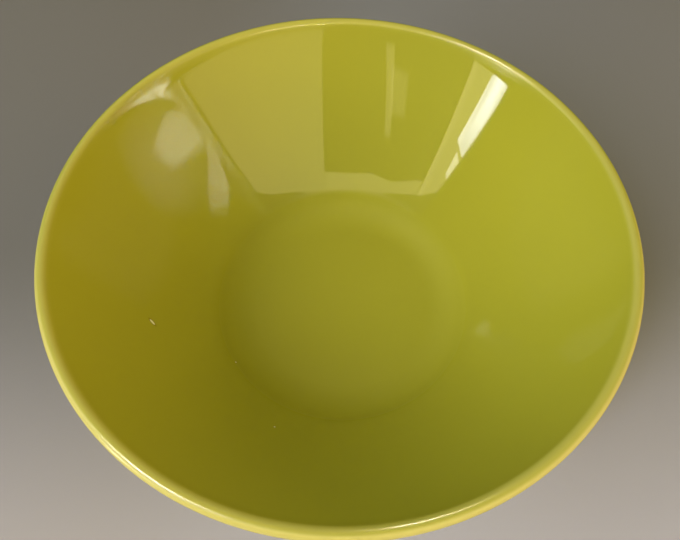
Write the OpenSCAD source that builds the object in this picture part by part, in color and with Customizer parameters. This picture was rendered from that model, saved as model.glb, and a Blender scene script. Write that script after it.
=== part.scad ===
// Round mixing bowl: a moulded shell with a rolled rim and a foot, and the rubber ring that it stands on.
// Millimetres, +Z up. The origin is on the table, under the middle of the bowl.

/* [Bowl inside] */
// Diameter of the mouth, where the inside wall runs into the rim bead
mouth_dia = 269; // [240:1:300]
// Depth of the inside, from the mouth down to the floor
inside_depth = 104.5; // [80:0.5:125]
// Diameter of the inside floor, out to the corner where it would meet the wall
floor_dia = 139; // [110:1:170]
// Length of the straight flank above the floor, along its slope
flank_len = 30; // [21:1:50]
// Angle through which the wall turns upright between flank and mouth
wall_turn = 17.5; // [8:0.5:26]
// Radius of the round corner between floor and flank
corner_r = 28; // [12:1:36]

/* [Shell] */
// Thickness of the wall
wall_t = 3.8; // [3:0.1:4.8]
// Thickness of the floor
floor_t = 4.2; // [3.4:0.1:6]
// Radius of the heel, where the outside of the wall turns under
heel_r = 28; // [18:1:36]

/* [Rim] */
// Diameter of the round bead along the rim
bead_dia = 5.7; // [5.2:0.1:7]
// Radius of the hollow that blends the bead into the outside of the wall
bead_blend_r = 3; // [1.5:0.1:5]

/* [Foot] */
// Flat margin on the underside between the heel and the foot
foot_inset = 3.4; // [2:0.1:12]
// Width of the foot
foot_w = 9; // [8.4:0.1:12]
// Height of the foot below the floor's underside
foot_h = 2.8; // [2:0.1:4]
// Radius of the hollows where the foot runs into the underside
foot_root_r = 1.2; // [0.5:0.1:1.8]
// Radius of the foot's lower edges
foot_edge_r = 0.8; // [0.3:0.1:1]

/* [Non-slip ring] */
// Width of the groove at its mouth
groove_w = 4.4; // [3.6:0.1:5]
// Depth of the groove in the foot
groove_d = 2.6; // [2:0.1:3.6]
// Undercut on each side of the groove, which holds the ring in
groove_undercut = 0.5; // [0.2:0.1:0.7]
// Play between the ring and each side of the groove
ring_play = 0.15; // [0.05:0.05:0.3]
// Width of the ring's tread, which bears on the table
tread_w = 6.4; // [5.6:0.1:7.2]
// Height of the tread, by which the bowl stands off the table
tread_h = 1; // [0.8:0.1:1.6]
// Radius of the tread's lower edges
tread_edge_r = 0.6; // [0.2:0.1:0.7]

/* [Hidden] */
bowl_green = "#B0A82E";
ring_grey = "#3C3D3F";
$fn = 180;
// How far a chord of an outline may stray from its arc
chord_gap = 0.005;

mouth_r = mouth_dia / 2;
floor_r = floor_dia / 2;
bead_r = bead_dia / 2;

// Heights above the table
under_z = tread_h + foot_h;
floor_z = under_z + floor_t;
groove_roof_z = tread_h + groove_d;

// The inside wall: a straight flank from the floor's corner, then an arc tangent to it that ends at the mouth
rise = [mouth_r - floor_r, inside_depth];
half_turn = wall_turn / 2;
arc_chord = sqrt(norm(rise) ^ 2 - (flank_len * sin(half_turn)) ^ 2) - flank_len * cos(half_turn);
flank_lean = atan2(rise[0], rise[1])
    + atan2(arc_chord * sin(half_turn), flank_len + arc_chord * cos(half_turn));
mouth_lean = flank_lean - wall_turn;
curve_r = arc_chord / (2 * sin(half_turn));
outer_curve_r = curve_r + wall_t;

// Directions along the wall and square to it, at a lean from the vertical
function up_wall(lean) = [sin(lean), cos(lean)];
function out_of_wall(lean) = [cos(lean), -sin(lean)];
corner = [floor_r, floor_z];
curve_c = corner + flank_len * up_wall(flank_lean) - curve_r * out_of_wall(flank_lean);

// The rounds at the floor's corner and at the heel run out this share of their radius from the corner
run_out = tan((90 - flank_lean) / 2);
corner_c = corner + corner_r * [-run_out, 1];
heel = [floor_r + wall_t / cos(flank_lean) - floor_t * tan(flank_lean), under_z];
heel_c = heel + heel_r * [-run_out, 1];

// The bead sits at the end of the wall, and the blend's circle touches both it and the outside of the wall
bead_arm = curve_r + bead_r;
blend_arm = outer_curve_r + bead_blend_r;
blend_gap = bead_r + bead_blend_r;
blend_lean = mouth_lean + acos((blend_arm ^ 2 + bead_arm ^ 2 - blend_gap ^ 2) / (2 * blend_arm * bead_arm));
bead_c = curve_c + bead_arm * out_of_wall(mouth_lean);
blend_c = curve_c + blend_arm * out_of_wall(blend_lean);
to_bead = bead_c - blend_c;
blend_end = atan2(to_bead[1], to_bead[0]);

// The foot stands in from the heel, and the groove runs along the middle of its width
foot_out = heel_c[0] - foot_inset;
foot_in = foot_out - foot_w;
foot_r = foot_out - foot_w / 2;

// Points along an arc between two directions, in degrees anticlockwise from +X
function arc(centre, r, from, to) =
    let (steps = ceil(abs(to - from) / (2 * acos(1 - chord_gap / r))))
    [for (k = [0 : steps]) let (a = from + (to - from) * k / steps) centre + r * [cos(a), sin(a)]];

// Points round the undercut groove from its inner edge to its outer one, drawn in on each side by the play
function groove(play) =
    let (half_mouth = groove_w / 2 - play, half_roof = half_mouth + groove_undercut)
    [
        [foot_r - half_mouth, tread_h], [foot_r - half_roof, groove_roof_z],
        [foot_r + half_roof, groove_roof_z], [foot_r + half_mouth, tread_h]
    ];

// Half section of the shell: out along the underside, up the outside, over the bead and down the inside
shell_section = [
    [0, under_z],
    each arc([foot_in - foot_root_r, under_z - foot_root_r], foot_root_r, 90, 0),
    each arc([foot_in + foot_edge_r, tread_h + foot_edge_r], foot_edge_r, 180, 270),
    each groove(0),
    each arc([foot_out - foot_edge_r, tread_h + foot_edge_r], foot_edge_r, -90, 0),
    each arc([foot_out + foot_root_r, under_z - foot_root_r], foot_root_r, 180, 90),
    each arc(heel_c, heel_r, -90, -flank_lean),
    each arc(curve_c, outer_curve_r, -flank_lean, -blend_lean),
    each arc(blend_c, bead_blend_r, 180 - blend_lean, blend_end),
    each arc(bead_c, bead_r, blend_end - 180, 180 - mouth_lean),
    each arc(curve_c, curve_r, -mouth_lean, -flank_lean),
    each arc(corner_c, corner_r, -flank_lean, -90),
    [0, floor_z]
];

// Half section of the ring: its tread on the table, its shoulders on the foot and its root in the groove
tread_in = foot_r - tread_w / 2;
tread_out = foot_r + tread_w / 2;
ring_root = groove(ring_play);
ring_section = [
    each arc([tread_in + tread_edge_r, tread_edge_r], tread_edge_r, 180, 270),
    each arc([tread_out - tread_edge_r, tread_edge_r], tread_edge_r, -90, 0),
    [tread_out, tread_h],
    for (k = [len(ring_root) - 1 : -1 : 0]) ring_root[k],
    [tread_in, tread_h]
];

module bowl_shell() {
    color(bowl_green) rotate_extrude() polygon(shell_section);
}

module non_slip_ring() {
    color(ring_grey) rotate_extrude() polygon(ring_section);
}

bowl_shell();
non_slip_ring();
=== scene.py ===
import math
import bpy
from mathutils import Matrix, Vector


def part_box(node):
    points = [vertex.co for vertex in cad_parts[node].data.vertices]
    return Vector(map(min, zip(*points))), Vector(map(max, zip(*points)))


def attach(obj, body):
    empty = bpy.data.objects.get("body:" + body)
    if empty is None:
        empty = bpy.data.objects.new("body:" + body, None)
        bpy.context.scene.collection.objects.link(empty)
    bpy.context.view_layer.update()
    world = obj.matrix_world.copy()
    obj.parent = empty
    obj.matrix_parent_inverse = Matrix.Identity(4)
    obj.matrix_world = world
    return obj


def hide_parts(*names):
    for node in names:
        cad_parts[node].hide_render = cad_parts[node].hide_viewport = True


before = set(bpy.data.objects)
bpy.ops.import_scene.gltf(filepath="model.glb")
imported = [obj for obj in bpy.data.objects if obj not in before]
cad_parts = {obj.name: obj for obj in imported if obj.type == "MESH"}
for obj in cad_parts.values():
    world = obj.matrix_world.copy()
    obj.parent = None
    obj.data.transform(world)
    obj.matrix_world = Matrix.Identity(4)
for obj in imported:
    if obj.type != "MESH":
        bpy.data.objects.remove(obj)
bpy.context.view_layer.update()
scene = bpy.context.scene
mm = 0.001
fullTurn = 2 * math.pi
quarter = fullTurn / 4
print("frame loaded:", ", ".join(sorted(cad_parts)))

# small helpers for node trees


def addNode(tree, kind, **settings):
    node = tree.nodes.new(kind)
    for name, value in settings.items():
        setattr(node, name, value)
    return node


def wire(tree, value, socket):
    if isinstance(value, bpy.types.NodeSocket):
        tree.links.new(value, socket)
    else:
        socket.default_value = value


def mathNode(tree, operation, *values):
    node = addNode(tree, "ShaderNodeMath", operation=operation)
    for value, socket in zip(values, node.inputs):
        wire(tree, value, socket)
    return node.outputs[0]


# sections are lists of (radius, height), the way a turner draws one half of the job


def arc(centre, radius, start, end, steps):
    turn = (end - start) / steps
    angles = [start + turn * k for k in range(steps + 1)]
    return [(centre[0] + radius * math.cos(a), centre[1] + radius * math.sin(a)) for a in angles]


def heading(lean):
    # one step up a wall that leans out from the vertical
    return Vector((math.sin(lean), math.cos(lean)))


def square(lean):
    # one step out of that wall, square to it
    return Vector((math.cos(lean), -math.sin(lean)))


def between(start, end, shares):
    # points on a straight run, at these shares of it
    return [(start[0] + (end[0] - start[0]) * s, start[1] + (end[1] - start[1]) * s) for s in shares]


ring = {
    "treadWidth": 6.4 * mm,
    "treadEdgeRadius": 0.6 * mm,
    "latheSteps": 192,
    "crease": math.radians(40),   # edges that bend more than this stay sharp
}

foot = {
    "radius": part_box("non_slip_ring")[1].x - ring["treadWidth"] / 2,  # middle of its width
    "width": 9 * mm,
    "underside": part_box("bowl_shell")[0].z,
    "height": 2.8 * mm,
    "rootRadius": 1.2 * mm,
    "edgeRadius": 0.8 * mm,
    "grooveWidth": 4.4 * mm,
    "grooveRoof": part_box("non_slip_ring")[1].z,
    "grooveUndercut": 0.5 * mm,
    "ringPlay": 0.15 * mm,
    "roundSteps": 6,
}


def groove(play):
    halfMouth = foot["grooveWidth"] / 2 - play
    halfRoof = halfMouth + foot["grooveUndercut"]
    middle = foot["radius"]
    return [
        (middle - halfMouth, foot["underside"]),
        (middle - halfRoof, foot["grooveRoof"]),
        (middle + halfRoof, foot["grooveRoof"]),
        (middle + halfMouth, foot["underside"]),
    ]


bowl = {
    "mouthRadius": 134.45 * mm,   # where the inside wall meets the rim bead
    "insideDepth": 104.4 * mm,
    "floorRadius": 68.6 * mm,     # out to the corner, as if it were sharp
    "flankLength": 20 * mm,
    "wallTurn": math.radians(18.4),
    "lipLength": 7.2 * mm,        # the wall closes in a little faster just below the bead
    "lipTurn": math.radians(3.62),
    "cornerRadius": 28 * mm,
    "wallThickness": 3.8 * mm,
    "floorThickness": 4.2 * mm,
    "heelRadius": 28 * mm,
    "beadRadius": 2.85 * mm,
    "blendRadius": 3 * mm,
    "latheSteps": 288,
    "crease": math.radians(40),
    "heelSteps": 22,              # steps along each arc of the section, in the order they are drawn
    "outerWallSteps": 36,
    "outerLipSteps": 4,
    "blendSteps": 8,
    "beadSteps": 40,
    "innerLipSteps": 6,
    "innerWallSteps": 64,
    "cornerSteps": 50,
    "underShares": (0, 0.4, 0.8, 0.97),  # where the straight runs have points
    "flankShares": (0.25, 0.5, 0.75),
    "floorShares": (0.02, 0.1, 0.4, 0.7, 1),
}


def bowlSection():
    underZ = foot["underside"] + foot["height"]
    floorZ = underZ + bowl["floorThickness"]
    wall, bead, blend = bowl["wallThickness"], bowl["beadRadius"], bowl["blendRadius"]

    # inside wall: straight flank, a long arc that touches it, and a short tighter one up to the mouth
    out = bowl["mouthRadius"] - bowl["floorRadius"]
    up = bowl["insideDepth"]
    flank, turn, lip, lipTurn = bowl["flankLength"], bowl["wallTurn"], bowl["lipLength"], bowl["lipTurn"]
    known = flank * heading(0) + lip * heading(-turn - lipTurn / 2)
    along = known.dot(heading(-turn / 2))
    chord = math.sqrt(along ** 2 - known.length_squared + out ** 2 + up ** 2) - along
    drawn = known + chord * heading(-turn / 2)
    lean = math.atan2(out, up) - math.atan2(drawn.x, drawn.y)
    lipLean = lean - turn
    mouthLean = lipLean - lipTurn
    curve = chord / (2 * math.sin(turn / 2))
    lipCurve = lip / (2 * math.sin(lipTurn / 2))
    flankTop = Vector((bowl["floorRadius"], floorZ)) + flank * heading(lean)
    curveMid = flankTop - curve * square(lean)
    lipMid = curveMid + (curve - lipCurve) * square(lipLean)

    # rounds at the floor's corner and at the heel
    runOut = math.tan((quarter - lean) / 2)
    cornerMid = (bowl["floorRadius"] - bowl["cornerRadius"] * runOut, floorZ + bowl["cornerRadius"])
    heel = bowl["floorRadius"] + wall / math.cos(lean) - bowl["floorThickness"] * math.tan(lean)
    heelMid = (heel - bowl["heelRadius"] * runOut, underZ + bowl["heelRadius"])

    # rim bead and the hollow under it
    beadArm = lipCurve + bead
    blendArm = lipCurve + wall + blend
    spread = (blendArm ** 2 + beadArm ** 2 - (bead + blend) ** 2) / (2 * blendArm * beadArm)
    blendLean = mouthLean + math.acos(spread)
    beadMid = lipMid + beadArm * square(mouthLean)
    blendMid = lipMid + blendArm * square(blendLean)
    blendEnd = math.atan2(beadMid.y - blendMid.y, beadMid.x - blendMid.x)

    inner = foot["radius"] - foot["width"] / 2
    outer = foot["radius"] + foot["width"] / 2
    root, edge, steps = foot["rootRadius"], foot["edgeRadius"], foot["roundSteps"]
    edgeZ = foot["underside"] + edge
    rootZ = underZ - root
    section = between((0, underZ), (inner - root, underZ), bowl["underShares"])
    section += arc((inner - root, rootZ), root, quarter, 0, steps)
    section += arc((inner + edge, edgeZ), edge, math.pi, 3 * quarter, steps)
    section += groove(0)
    section += arc((outer - edge, edgeZ), edge, -quarter, 0, steps)
    section += arc((outer + root, rootZ), root, math.pi, quarter, steps)
    section += arc(heelMid, bowl["heelRadius"], -quarter, -lean, bowl["heelSteps"])
    section += arc(curveMid, curve + wall, -lean, -lipLean, bowl["outerWallSteps"])[1:]
    section += arc(lipMid, lipCurve + wall, -lipLean, -blendLean, bowl["outerLipSteps"])[1:]
    section += arc(blendMid, blend, math.pi - blendLean, blendEnd, bowl["blendSteps"])[1:]
    section += arc(beadMid, bead, blendEnd - math.pi, math.pi - mouthLean, bowl["beadSteps"])[1:]
    section += arc(lipMid, lipCurve, -mouthLean, -lipLean, bowl["innerLipSteps"])[1:]
    section += arc(curveMid, curve, -lipLean, -lean, bowl["innerWallSteps"])[1:]
    corner = arc(cornerMid, bowl["cornerRadius"], -lean, -quarter, bowl["cornerSteps"])
    section += between(flankTop, corner[0], bowl["flankShares"]) + corner
    section += between((cornerMid[0], floorZ), (0, floorZ), bowl["floorShares"])
    return section


def ringSection():
    half, edge, steps = ring["treadWidth"] / 2, ring["treadEdgeRadius"], foot["roundSteps"]
    inner, outer = foot["radius"] - half, foot["radius"] + half
    section = arc((inner + edge, edge), edge, math.pi, 3 * quarter, steps)
    section += arc((outer - edge, edge), edge, -quarter, 0, steps)
    section += [(outer, foot["underside"])]
    section += reversed(groove(foot["ringPlay"]))
    section += [(inner, foot["underside"])]
    return section + section[:1]


weldGap = 0.001 * mm   # points of a turned grid that lie this close become one


def turningTree():
    # turns a section round the z axis: a grid whose rows are the section's points
    tree = bpy.data.node_groups.new("turning", "GeometryNodeTree")
    sockets = tree.interface
    sockets.new_socket("Section", in_out="INPUT", socket_type="NodeSocketGeometry")
    sockets.new_socket("Steps Round", in_out="INPUT", socket_type="NodeSocketInt")
    sockets.new_socket("Crease Angle", in_out="INPUT", socket_type="NodeSocketFloat")
    sockets.new_socket("Finish", in_out="INPUT", socket_type="NodeSocketMaterial")
    sockets.new_socket("Turned", in_out="OUTPUT", socket_type="NodeSocketGeometry")
    given = addNode(tree, "NodeGroupInput").outputs

    count = addNode(tree, "GeometryNodeAttributeDomainSize", component="MESH")
    wire(tree, given["Section"], count.inputs["Geometry"])
    columns = mathNode(tree, "ADD", given["Steps Round"], 1.0)
    grid = addNode(tree, "GeometryNodeMeshGrid")
    wire(tree, count.outputs["Point Count"], grid.inputs["Vertices X"])
    wire(tree, columns, grid.inputs["Vertices Y"])

    index = addNode(tree, "GeometryNodeInputIndex").outputs[0]
    row = mathNode(tree, "FLOOR", mathNode(tree, "DIVIDE", index, columns))
    column = mathNode(tree, "MODULO", index, columns)
    angle = mathNode(tree, "MULTIPLY", mathNode(tree, "DIVIDE", column, given["Steps Round"]), fullTurn)
    point = addNode(tree, "GeometryNodeSampleIndex", data_type="FLOAT_VECTOR", domain="POINT")
    wire(tree, given["Section"], point.inputs["Geometry"])
    wire(tree, addNode(tree, "GeometryNodeInputPosition").outputs[0], point.inputs["Value"])
    wire(tree, row, point.inputs["Index"])
    drawn = addNode(tree, "ShaderNodeSeparateXYZ")
    wire(tree, point.outputs["Value"], drawn.inputs[0])

    place = addNode(tree, "ShaderNodeCombineXYZ")
    for operation, axis in (("COSINE", "X"), ("SINE", "Y")):
        share = mathNode(tree, operation, angle)
        wire(tree, mathNode(tree, "MULTIPLY", drawn.outputs["X"], share), place.inputs[axis])
    wire(tree, drawn.outputs["Z"], place.inputs["Z"])
    spun = addNode(tree, "GeometryNodeSetPosition")
    wire(tree, grid.outputs["Mesh"], spun.inputs["Geometry"])
    wire(tree, place.outputs[0], spun.inputs["Position"])
    closed = addNode(tree, "GeometryNodeMergeByDistance")
    wire(tree, spun.outputs[0], closed.inputs["Geometry"])
    wire(tree, weldGap, closed.inputs["Distance"])

    soft = addNode(tree, "GeometryNodeSetShadeSmooth", domain="FACE")
    wire(tree, closed.outputs[0], soft.inputs["Geometry"])
    bend = addNode(tree, "GeometryNodeInputMeshEdgeAngle").outputs["Unsigned Angle"]
    hard = addNode(tree, "GeometryNodeSetShadeSmooth", domain="EDGE")
    wire(tree, soft.outputs[0], hard.inputs["Geometry"])
    wire(tree, mathNode(tree, "GREATER_THAN", bend, given["Crease Angle"]), hard.inputs["Selection"])
    wire(tree, False, hard.inputs["Shade Smooth"])
    real = addNode(tree, "GeometryNodeRealizeInstances")
    wire(tree, hard.outputs[0], real.inputs[0])
    finished = addNode(tree, "GeometryNodeSetMaterial")
    wire(tree, real.outputs[0], finished.inputs["Geometry"])
    wire(tree, given["Finish"], finished.inputs["Material"])
    wire(tree, finished.outputs[0], addNode(tree, "NodeGroupOutput").inputs[0])
    return tree


def turned(name, section, sizes, finish, tree):
    # the section goes in as a line of points, and the turned piece comes out as a plain mesh
    line = bpy.data.meshes.new(name + "Section")
    points = [(radius, 0, height) for radius, height in section]
    line.from_pydata(points, [(k, k + 1) for k in range(len(points) - 1)], [])
    blank = bpy.data.objects.new(name + "Blank", line)
    scene.collection.objects.link(blank)
    lathe = blank.modifiers.new("turning", "NODES")
    lathe.node_group = tree
    values = {"Steps Round": sizes["latheSteps"], "Crease Angle": sizes["crease"], "Finish": finish}
    for socket in tree.interface.items_tree:
        if socket.name in values:
            lathe[socket.identifier] = values[socket.name]
    evaluated = blank.evaluated_get(bpy.context.evaluated_depsgraph_get())
    mesh = bpy.data.meshes.new_from_object(evaluated)
    blank.modifiers.remove(lathe)
    bpy.data.objects.remove(blank)
    mesh.name = name
    piece = bpy.data.objects.new(name, mesh)
    scene.collection.objects.link(piece)
    return piece


# small helpers for finishes, which all read the piece's own Object coordinates in metres


def placeOn(tree):
    return addNode(tree, "ShaderNodeTexCoord").outputs["Object"]


def vectorNode(tree, operation, *values):
    node = addNode(tree, "ShaderNodeVectorMath", operation=operation)
    for value, socket in zip(values, node.inputs):
        wire(tree, value, socket)
    return node.outputs["Value" if operation in ("DOT_PRODUCT", "LENGTH", "DISTANCE") else "Vector"]


def ramp(tree, value, start, end, low=0.0, high=1.0):
    node = addNode(tree, "ShaderNodeMapRange", interpolation_type="SMOOTHSTEP")
    for given, socket in zip((value, start, end, low, high), node.inputs):
        wire(tree, given, socket)
    return node.outputs["Result"]


def cloud(tree, where, size, detail=2.0):
    node = addNode(tree, "ShaderNodeTexNoise")
    wire(tree, where, node.inputs["Vector"])
    wire(tree, 1 / size, node.inputs["Scale"])
    wire(tree, detail, node.inputs["Detail"])
    return node.outputs[0]


def tinted(tree, share, colour, other):
    node = addNode(tree, "ShaderNodeMix", data_type="RGBA")
    wire(tree, share, node.inputs["Factor"])
    wire(tree, colour, node.inputs[6])
    wire(tree, other, node.inputs[7])
    return node.outputs[2]


melamine = {
    "lime": (0.430, 0.390, 0.020, 1),
    "limeDeep": (0.405, 0.372, 0.017, 1),
    "limePaintedHighlight": (0.505, 0.440, 0.042, 1),   # painted highlight along the top of the rim
    "limePaintedLight": (0.640, 0.535, 0.080, 1),   # painted light on the rim's near, outer side
    # painted highlight of a nick, and the painted shade round it
    "nickPaintedHighlight": (0.950, 0.880, 0.450, 1),
    "nickPaintedShade": (0.330, 0.280, 0.010, 1),
    "nickShadeGrow": 1.6,                     # how far the painted shade round a nick reaches, against its painted highlight
    "nickEdge": (0.5, 1.0),                 # where a nick's painted marks fade out, as a share of its size squared
    "ior": 1.55,
    "polish": 0.025,                        # roughness of the wall
    "dulled": 0.50,                         # roughness where stirring has dulled the floor
    "rimDulled": 0.16,                      # roughness that handling adds on the rim
    "sheen": 0.5,
    "sheenDulled": 0.05,
    "dullHeights": (23.8 * mm, 14 * mm),    # where the floor's dullness starts and where it is full
    "sheenHeights": (23.4 * mm, 18.8 * mm),  # where the sheen starts to go and where it has gone
    "patchSize": 70 * mm,
    "waveSize": 55 * mm,                    # slight waves left by the mould
    "waveHeight": 0.05 * mm,
    "scratchLength": 0.35,                  # in radians
    "scratchWidth": 0.5 * mm,
    "scratchCut": (0.66, 0.74),             # how much of the noise shows as scratches
    "scratchRough": 0.03,                   # roughness that they add
    "scratchPatch": 25 * mm,
    "rimHeights": (108 * mm, 111 * mm),     # where the rim's painted highlight and painted light, and its duller polish, start and are full
    "highlightIn": (133.8 * mm, 135.6 * mm),     # from the axis: the band of painted highlight fades in and out
    "highlightOut": (136.8 * mm, 138.0 * mm),
    "paleIn": (136.8 * mm, 138.8 * mm),     # from the axis: the outer half of the bead, where the painted light goes
    "paintedLightSide": (40 * mm, -80 * mm),         # along y: the painted light is palest on the rim's near side
}

# small pits inside the bowl, each shown by a painted highlight inside a ring of painted shade, in millimetres
nicks = {
    "leftNick": {
        "middle": (-100.75, -36.1, 58.0), "along": (0.60, -0.54, -0.59), "halfLength": 2.3, "halfWidth": 0.85},
    "floorNick": {
        "middle": (-63.0, -44.7, 17.7), "along": (0, 0, 1), "halfLength": 0.6, "halfWidth": 0.6},
    "nearNick": {
        "middle": (-34.7, -85.3, 36.4), "along": (0, 0, 1), "halfLength": 0.6, "halfWidth": 0.6},
}


# mask of a nick's painted highlight; grown, of the painted shade round it
def nickPaintMask(tree, where, nick, grow=1.0):
    fromMiddle = vectorNode(tree, "SUBTRACT", where, Vector(nick["middle"]) * mm)
    along = Vector(nick["along"]).normalized()
    run = vectorNode(tree, "DOT_PRODUCT", fromMiddle, along)
    runVector = addNode(tree, "ShaderNodeVectorMath", operation="SCALE")
    wire(tree, along, runVector.inputs[0])
    wire(tree, run, runVector.inputs["Scale"])
    off = vectorNode(tree, "DISTANCE", fromMiddle, runVector.outputs["Vector"])
    shareRun = mathNode(tree, "DIVIDE", run, nick["halfLength"] * grow * mm)
    shareOff = mathNode(tree, "DIVIDE", off, nick["halfWidth"] * grow * mm)
    squares = [mathNode(tree, "POWER", share, 2.0) for share in (shareRun, shareOff)]
    return ramp(tree, mathNode(tree, "ADD", *squares), *melamine["nickEdge"], 1.0, 0.0)


def scratches(tree, where, reach):
    # fine broken lines that run round the axis, as stirring leaves them
    parts = addNode(tree, "ShaderNodeSeparateXYZ")
    wire(tree, where, parts.inputs[0])
    x, y, z = parts.outputs
    angle = mathNode(tree, "ARCTAN2", y, x)
    along = addNode(tree, "ShaderNodeCombineXYZ")
    wire(tree, mathNode(tree, "DIVIDE", angle, melamine["scratchLength"]), along.inputs["X"])
    wire(tree, mathNode(tree, "DIVIDE", reach, melamine["scratchWidth"]), along.inputs["Y"])
    wire(tree, mathNode(tree, "DIVIDE", z, melamine["scratchWidth"]), along.inputs["Z"])
    return ramp(tree, cloud(tree, along.outputs[0], 1.0, 0.0), *melamine["scratchCut"])


def melamineFinish():
    material = bpy.data.materials.new("limeMelamine")
    material.use_nodes = True
    tree = material.node_tree
    shader = tree.nodes["Principled BSDF"]
    shader.inputs["IOR"].default_value = melamine["ior"]
    where = placeOn(tree)
    parts = addNode(tree, "ShaderNodeSeparateXYZ")
    wire(tree, where, parts.inputs[0])
    across, height = parts.outputs["Y"], parts.outputs["Z"]

    # colour: slightly uneven; a painted highlight along the rim's top and painted light on its near side; three
    # pits with painted highlight and shade
    colour = tinted(tree, cloud(tree, where, melamine["patchSize"]), melamine["lime"], melamine["limeDeep"])
    reach = vectorNode(tree, "LENGTH", vectorNode(tree, "MULTIPLY", where, (1, 1, 0)))
    onRim = ramp(tree, height, *melamine["rimHeights"])
    # painted highlight: a paler band along the top of the rim, all round
    rimHighlight = mathNode(tree, "MULTIPLY", onRim, ramp(tree, reach, *melamine["highlightIn"]))
    rimHighlight = mathNode(tree, "MULTIPLY", rimHighlight, ramp(tree, reach, *melamine["highlightOut"], 1.0, 0.0))
    colour = tinted(tree, rimHighlight, colour, melamine["limePaintedHighlight"])
    # painted light: the outer half of the rim is painted paler towards the near side, as if lit from there
    rimPaintedLight = mathNode(tree, "MULTIPLY", onRim, ramp(tree, reach, *melamine["paleIn"]))
    rimPaintedLight = mathNode(tree, "MULTIPLY", rimPaintedLight, ramp(tree, across, *melamine["paintedLightSide"]))
    colour = tinted(tree, rimPaintedLight, colour, melamine["limePaintedLight"])
    # each nick: painted shade round it, then a painted highlight in it
    for nick in nicks.values():
        colour = tinted(tree, nickPaintMask(tree, where, nick, melamine["nickShadeGrow"]), colour, melamine["nickPaintedShade"])
        colour = tinted(tree, nickPaintMask(tree, where, nick), colour, melamine["nickPaintedHighlight"])
    wire(tree, colour, shader.inputs["Base Color"])

    # polish: scratched a little, duller on the rim and dulled towards the floor, where the sheen goes too
    patches = cloud(tree, where, melamine["scratchPatch"])
    scratch = mathNode(tree, "MULTIPLY", scratches(tree, where, reach), patches)
    dull = ramp(tree, height, *melamine["dullHeights"])
    rough = melamine["polish"]
    for share, added in (
        (scratch, melamine["scratchRough"]),
        (onRim, melamine["rimDulled"]),
        (dull, melamine["dulled"] - melamine["polish"]),
    ):
        rough = mathNode(tree, "ADD", rough, mathNode(tree, "MULTIPLY", share, added))
    wire(tree, rough, shader.inputs["Roughness"])
    sheen = ramp(tree, height, *melamine["sheenHeights"], melamine["sheen"], melamine["sheenDulled"])
    wire(tree, sheen, shader.inputs["Specular IOR Level"])

    # relief: slow waves from the mould
    waves = addNode(tree, "ShaderNodeBump")
    wire(tree, melamine["waveHeight"], waves.inputs["Distance"])
    wire(tree, cloud(tree, where, melamine["waveSize"], 0.0), waves.inputs["Height"])
    wire(tree, waves.outputs[0], shader.inputs["Normal"])
    return material


rubber = {
    "grey": (0.035, 0.036, 0.038, 1),
    "greyWorn": (0.075, 0.074, 0.072, 1),
    "dust": (0.160, 0.150, 0.135, 1),
    "dustShare": 0.5,              # at most, where it lies
    "dustCut": (0.55, 0.75),       # how much of the blotches it covers
    "roughness": (0.62, 0.85),
    "roughCut": (0.3, 0.7),        # the blotches between which it goes from one to the other
    "sheen": 0.35,
    "grain": 0.6 * mm,
    "grainDetail": 4.0,
    "grainHeight": 0.03 * mm,
    "blotch": 9 * mm,
    "blotchDetail": 3.0,
}


def rubberFinish():
    material = bpy.data.materials.new("greyRubber")
    material.use_nodes = True
    tree = material.node_tree
    shader = tree.nodes["Principled BSDF"]
    shader.inputs["Specular IOR Level"].default_value = rubber["sheen"]
    where = placeOn(tree)
    grain = cloud(tree, where, rubber["grain"], rubber["grainDetail"])
    blotch = cloud(tree, where, rubber["blotch"], rubber["blotchDetail"])
    colour = tinted(tree, grain, rubber["grey"], rubber["greyWorn"])
    dusty = ramp(tree, blotch, *rubber["dustCut"], 0.0, rubber["dustShare"])
    colour = tinted(tree, dusty, colour, rubber["dust"])
    wire(tree, colour, shader.inputs["Base Color"])
    wire(tree, ramp(tree, blotch, *rubber["roughCut"], *rubber["roughness"]), shader.inputs["Roughness"])
    relief = addNode(tree, "ShaderNodeBump")
    wire(tree, rubber["grainHeight"], relief.inputs["Distance"])
    wire(tree, grain, relief.inputs["Height"])
    wire(tree, relief.outputs[0], shader.inputs["Normal"])
    return material


turning = turningTree()
bowlPiece = turned("limeBowl", bowlSection(), bowl, melamineFinish(), turning)
ringPiece = turned("rubberRing", ringSection(), ring, rubberFinish(), turning)
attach(bowlPiece, "root")
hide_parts("bowl_shell")
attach(ringPiece, "root")
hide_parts("non_slip_ring")
print("turned:", len(bowlPiece.data.polygons), "bowl faces,", len(ringPiece.data.polygons), "ring faces")

table = {
    "halfWidth": 4.0,
    # painted light and shade: lighter on the near side, darker on the far side and warmer on the left
    "near": (0.510, 0.482, 0.345, 1),
    "far": (0.229, 0.216, 0.134, 1),
    "leftPaintedShade": (0.860, 0.800, 0.690),  # painted shade: both are this much warmer and darker towards the left, against the cool light there
    "nearToFar": (-0.20, 0.05),    # along y: where the near colour, painted light, ends and where the far one, painted shade, is full
    "warmFade": (0.05, -0.15),     # along x: where the painted warm shade starts and where it is full
    "roughness": 0.6,
    "sheen": 0,                    # matt, so that the cards leave no streaks on it
}


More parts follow.
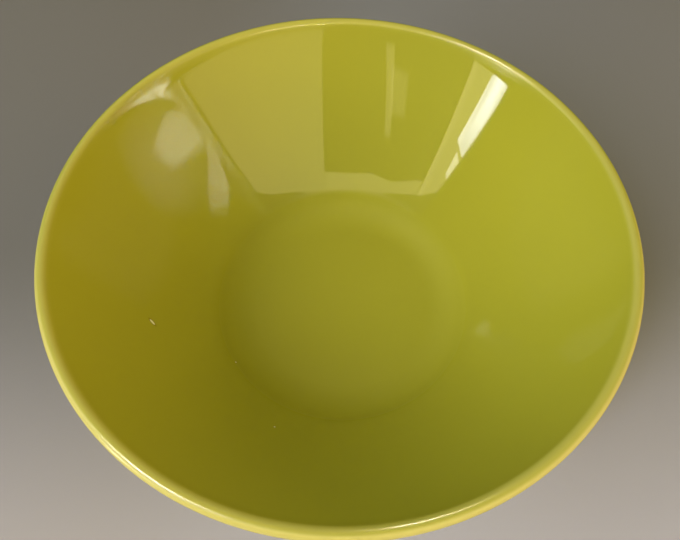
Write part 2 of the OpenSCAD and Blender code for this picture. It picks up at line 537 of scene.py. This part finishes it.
def tableFinish():
    material = bpy.data.materials.new("paleTable")
    material.use_nodes = True
    tree = material.node_tree
    shader = tree.nodes["Principled BSDF"]
    shader.inputs["Roughness"].default_value = table["roughness"]
    shader.inputs["Specular IOR Level"].default_value = table["sheen"]
    where = addNode(tree, "ShaderNodeSeparateXYZ")
    wire(tree, placeOn(tree), where.inputs[0])
    # painted light towards the near side, painted shade towards the far side, and a warmer painted shade on the
    # left
    share = ramp(tree, where.outputs["Y"], *table["nearToFar"])
    colour = tinted(tree, share, table["near"], table["far"])
    share = ramp(tree, where.outputs["X"], *table["warmFade"])
    warm = vectorNode(tree, "MULTIPLY", colour, table["leftPaintedShade"])
    wire(tree, tinted(tree, share, colour, warm), shader.inputs["Base Color"])
    return material


def layTable():
    half = table["halfWidth"]
    mesh = bpy.data.meshes.new("table")
    corners = [(-half, -half, 0), (half, -half, 0), (half, half, 0), (-half, half, 0)]
    mesh.from_pydata(corners, [], [(0, 1, 2, 3)])
    mesh.materials.append(tableFinish())
    piece = bpy.data.objects.new("table", mesh)
    scene.collection.objects.link(piece)


layTable()

# soft boxes that light the bowl and leave no image in its polish
# bearing is from the camera's side, positive to the right; it, rise, width and height are in degrees
boxDistance = 1.5
boxAim = Vector((0, 0, 0.08))
softBoxes = {
    "coolKey": {"bearing": -48, "rise": 41, "wide": 18, "high": 30, "glow": 15.6, "tint": (0.95, 1.0, 1.9)},
    "coolHigh": {"bearing": -20, "rise": 68, "wide": 34, "high": 22, "glow": 2.8, "tint": (1.0, 0.97, 0.8)},
    "coolLow": {"bearing": -112, "rise": 24, "wide": 56, "high": 28, "glow": 0.9, "tint": (0.7, 1.05, 2.1)},
    "coolNear": {"bearing": -45, "rise": 48, "wide": 44, "high": 24, "glow": 1.0, "tint": (1.0, 1.0, 1.0)},
    "warmFill": {"bearing": 75, "rise": 38, "wide": 50, "high": 36, "glow": 1.35, "tint": (1.0, 0.84, 0.66)},
    "farFill": {"bearing": -150, "rise": 50, "wide": 60, "high": 30, "glow": 1.05, "tint": (0.92, 1.0, 1.4)},
    "warmCard": {"bearing": 38.5, "rise": 12, "wide": 60, "high": 31, "glow": 0.5, "tint": (1.0, 0.85, 0.45)},
    "warmSide": {"bearing": 84, "rise": 12, "wide": 34, "high": 31, "glow": 4.7, "tint": (1.0, 0.77, 0.6)},
    "paleCard": {"bearing": -50, "rise": 10, "wide": 14, "high": 19, "glow": 1.0, "tint": (1.0, 0.85, 0.4)},
    "brightStrip": {"bearing": -46, "rise": 17, "wide": 12, "high": 17, "glow": 9, "tint": (1.0, 1.0, 1.0)},
}

# far cards that only the polish shows: corners are bearing and rise in degrees
shineDistance = 15
cardSoft = 0.02   # how far a card's edge fades, as a share of its size, where it gives no other
yellow, cream, white = (1.0, 0.85, 0.42), (1.0, 0.96, 0.77), (1, 1, 1)
shineCards = {
    "lowerBand": {"glow": 2.1, "tint": yellow, "corners": [
        (13, 25.5), (-16.5, 25.3), (-30, 24.8), (-45, 21.2), (-48, 20.6), (-48, 22.8), (-37, 25.4), (-11, 28.2),
        (14, 28.2)]},
    "slimStreak": {"glow": 1.7, "tint": yellow, "soft": 0.1, "corners": [
        (-14.6, 7), (-17.8, 7), (-23, 19), (-20, 19)]},
    "slimPatch": {"glow": 1.2, "tint": yellow, "soft": 0.2, "corners": [
        (-17.8, 9.5), (-25, 9.8), (-27.5, 15.3), (-21, 15.8)]},
    "paleEdge": {"glow": 3.4, "tint": yellow, "corners": [
        (-47.5, -1), (-49.5, -1), (-51, 22), (-48.5, 22.8)]},
    "paleBand": {"glow": 2.8, "tint": yellow, "corners": [
        (-49.5, -1), (-56, -1), (-56, 12.2), (-64, 13.5), (-64, 17), (-56, 20), (-51, 22)]},
    "whiteStreak": {"glow": 9, "tint": white, "corners": [
        (-56, 1), (-62.5, 1), (-62.5, 13.3), (-54.2, 12.2)]},
    "whiteTip": {"glow": 7, "tint": white, "soft": 0.6, "corners": [
        (-57.6, -3), (-61, -3), (-61, 8.5), (-57.2, 8.5)]},
    "paleStub": {"glow": 6, "tint": cream, "corners": [
        (-56.5, 13.2), (-61, 13.8), (-60, 17), (-56.8, 16.5)]},
    "nearHigh": {"glow": 2.2, "tint": (1.0, 0.9, 0.55), "soft": 0.2, "corners": [
        (-45, 31), (45, 31), (45, 48), (-45, 48)]},
    "leftMid": {"glow": 2.5, "tint": cream, "soft": 0.2, "corners": [
        (-66, 20), (-95, 20), (-95, 37), (-66, 37)]},
}

# far ribbons: a row is its two ends and its share of the glow
# across gives the steps along each row and their shares
shineRibbons = {
    "warmSheet": {"glow": 1.9, "tint": yellow, "across": [(0, 0.6), (1, 1)], "rows": [
        ((8, -1), (14, 28.2), 1), ((20, -1), (25, 27.3), 1), ((33, -1), (37, 25.5), 1),
        ((48, -1), (50, 22.7), 1), ((62, -1), (62, 18), 1), ((75, -1), (75, 14), 1)]},
    "leftWedge": {"glow": 120, "tint": cream, "across": [(0, 0), (0.25, 1), (0.7, 1), (1, 0)], "rows": [
        ((-76, 47.4), (-78.2, 47), 0.6), ((-72.7, 49.9), (-76.9, 49.2), 0.9), ((-69.2, 52.2), (-76.9, 51), 1),
        ((-66.4, 53.4), (-76.1, 53), 1), ((-63, 54.6), (-75.4, 55.1), 1), ((-58.7, 55.7), (-73.7, 57.1), 0.85),
        ((-54.1, 56.8), (-72.3, 58.6), 0.6), ((-48.7, 58.2), (-67.5, 60.4), 0.4),
        ((-42.9, 59.6), (-61.2, 62.1), 0.12), ((-36.5, 61), (-53, 63.7), 0)]},
}

# near cards, seen in the left wall by way of the right one
# corners and lift are millimetres on and off a slanting plane over the bowl
hazePlane = {"middle": (34.65, -51.23, 220.02), "bearing": -62, "rise": 47}   # millimetres and degrees
hazeCards = {
    "hazeSliver": {"glow": 125, "tint": cream, "soft": 0.2, "lift": 0, "corners": [
        (23, -18.5), (13, -20.5), (4.3, -23.5), (-0.9, -21.8), (-4.6, -17.5), (-7.4, -16), (-3.4, -13.2),
        (2.2, -11.3), (10.3, -14.5)]},
    "hazePatch": {"glow": 52, "tint": cream, "soft": 0.2, "lift": 1, "corners": [
        (-5, -9), (-9.6, -12.7), (-8.2, -6.8), (-6.5, -0.5), (-4.5, 3.5), (-1, 9.4), (1.9, 11.2), (5.9, 12.1),
        (8.5, 8.6), (9.6, 4.3), (4.2, -1.2), (-0.6, -5.5)]},
    "hazeHalo": {"glow": 14, "tint": cream, "soft": 0.5, "lift": 2, "corners": [
        (-6, -9), (-6.5, -0.5), (-1, 12.8), (1.9, 21.5), (7.4, 27.9), (14.7, 27.8), (21.8, 22.7), (25, 13.8),
        (23.1, 3.7), (13.6, -4.7), (2.9, -9)]},
}


def outward(bearing, rise):
    bearing, rise = math.radians(bearing), math.radians(rise)
    return Vector((math.sin(bearing) * math.cos(rise), -math.cos(bearing) * math.cos(rise), math.sin(rise)))


def hangSoftBox(name, box):
    away = outward(box["bearing"], box["rise"])
    lamp = bpy.data.lights.new(name, "AREA")
    lamp.shape = "RECTANGLE"
    wide, high, rise = (math.radians(box[key]) for key in ("wide", "high", "rise"))
    lamp.size = 2 * boxDistance * math.tan(wide / 2) * math.cos(rise)
    lamp.size_y = 2 * boxDistance * math.tan(high / 2)
    lamp.energy = box["glow"] * math.pi * lamp.size * lamp.size_y
    lamp.color = box["tint"]
    piece = bpy.data.objects.new(name, lamp)
    turn = away.to_track_quat("Z", "Y").to_matrix().to_4x4()
    piece.matrix_world = Matrix.Translation(boxAim + away * boxDistance) @ turn
    piece.visible_camera = False
    piece.visible_glossy = False
    scene.collection.objects.link(piece)


def hangCard(name, card, points, shares, faces):
    # a card adds its glow to what is behind it, so cards may overlap
    mesh = bpy.data.meshes.new(name)
    mesh.from_pydata(points, [], faces)
    fade = mesh.attributes.new("fade", "FLOAT", "POINT")
    fade.data.foreach_set("value", shares)
    material = bpy.data.materials.new(name)
    material.use_nodes = True
    tree = material.node_tree
    tree.nodes.remove(tree.nodes["Principled BSDF"])
    shader = addNode(tree, "ShaderNodeEmission")
    shader.inputs["Color"].default_value = (*card["tint"], 1)
    share = addNode(tree, "ShaderNodeAttribute", attribute_name="fade").outputs["Fac"]
    wire(tree, mathNode(tree, "MULTIPLY", share, card["glow"]), shader.inputs["Strength"])
    seeThrough = addNode(tree, "ShaderNodeAddShader")
    wire(tree, shader.outputs[0], seeThrough.inputs[0])
    wire(tree, addNode(tree, "ShaderNodeBsdfTransparent").outputs[0], seeThrough.inputs[1])
    wire(tree, seeThrough.outputs[0], tree.nodes["Material Output"].inputs["Surface"])
    mesh.materials.append(material)
    piece = bpy.data.objects.new(name, mesh)
    for sight in ("camera", "diffuse", "transmission", "volume_scatter", "shadow"):
        setattr(piece, "visible_" + sight, False)
    scene.collection.objects.link(piece)


def hangSheet(name, card, corners):
    # the glow fades out between an outline drawn in from the corners and one drawn out from them
    soft, count = card.get("soft", cardSoft), len(corners)
    middle = sum(corners, Vector()) / count
    points = [middle + (corner - middle) * share for share in (1 - soft, 1 + soft) for corner in corners]
    faces = [range(count)] + [(k, (k + 1) % count, (k + 1) % count + count, k + count) for k in range(count)]
    hangCard(name, card, points, [1.0] * count + [0.0] * count, faces)


def hangRibbon(name, card):
    points, shares, faces = [], [], []
    columns = len(card["across"])
    for one, other, rowShare in card["rows"]:
        one, other = (boxAim + shineDistance * outward(*edge) for edge in (one, other))
        points += [one.lerp(other, step) for step, share in card["across"]]
        shares += [rowShare * share for step, share in card["across"]]
    for start in range(0, len(points) - columns, columns):
        faces += [(k, k + 1, k + 1 + columns, k + columns) for k in range(start, start + columns - 1)]
    hangCard(name, card, points, shares, faces)


def hangShineCard(name, card):
    hangSheet(name, card, [boxAim + shineDistance * outward(*corner) for corner in card["corners"]])


def hangHazeCard(name, card):
    away = outward(hazePlane["bearing"], hazePlane["rise"])
    side = Vector((0, 0, 1)).cross(away).normalized()
    above = away.cross(side)
    middle = Vector(hazePlane["middle"]) + card["lift"] * away
    hangSheet(name, card, [(middle + right * side + up * above) * mm for right, up in card["corners"]])


for name, box in softBoxes.items():
    hangSoftBox(name, box)
for name, card in shineCards.items():
    hangShineCard(name, card)
for name, card in shineRibbons.items():
    hangRibbon(name, card)
for name, card in hazeCards.items():
    hangHazeCard(name, card)

world = {"glow": 0.10, "colour": (1, 0.98, 0.95, 1)}
scene.world = bpy.data.worlds.new("studio")
scene.world.use_nodes = True
sky = scene.world.node_tree.nodes["Background"]
sky.inputs["Color"].default_value = world["colour"]
sky.inputs["Strength"].default_value = world["glow"]
scene.view_settings.view_transform = "Standard"
cardCount = len(shineCards) + len(shineRibbons) + len(hazeCards)
print("light set:", len(softBoxes), "soft boxes,", cardCount, "cards")

camera = {
    "back": 141.5 * mm,           # from the bowl's axis, on the near side
    "height": 316.6 * mm,
    "yaw": math.radians(2.660),
    "pitch": math.radians(61.744),  # below level
    "roll": math.radians(3.391),
    "focalPixels": 518.8,
    "lensOffPixels": 15,          # how far right of the middle the lens points
    "framePixels": 680,
    "sensorWidth": 36,            # in millimetres
    "clipStart": 10 * mm,
}


def placeCamera():
    lens = bpy.data.cameras.new("camera")
    lens.sensor_fit = "HORIZONTAL"
    lens.sensor_width = camera["sensorWidth"]
    lens.lens = lens.sensor_width * camera["focalPixels"] / camera["framePixels"]
    lens.shift_x = -camera["lensOffPixels"] / camera["framePixels"]
    lens.clip_start = camera["clipStart"]
    yaw, pitch, roll = camera["yaw"], camera["pitch"], camera["roll"]
    ahead = Vector((math.sin(yaw) * math.cos(pitch), math.cos(yaw) * math.cos(pitch), -math.sin(pitch)))
    level = Vector((math.cos(yaw), -math.sin(yaw), 0))
    upright = level.cross(ahead)
    right = level * math.cos(roll) + upright * math.sin(roll)
    above = upright * math.cos(roll) - level * math.sin(roll)
    axes = Matrix((right, above, -ahead)).transposed().to_4x4()
    piece = bpy.data.objects.new("camera", lens)
    piece.matrix_world = Matrix.Translation((0, -camera["back"], camera["height"])) @ axes
    scene.collection.objects.link(piece)
    scene.camera = piece


placeCamera()
print("camera placed")
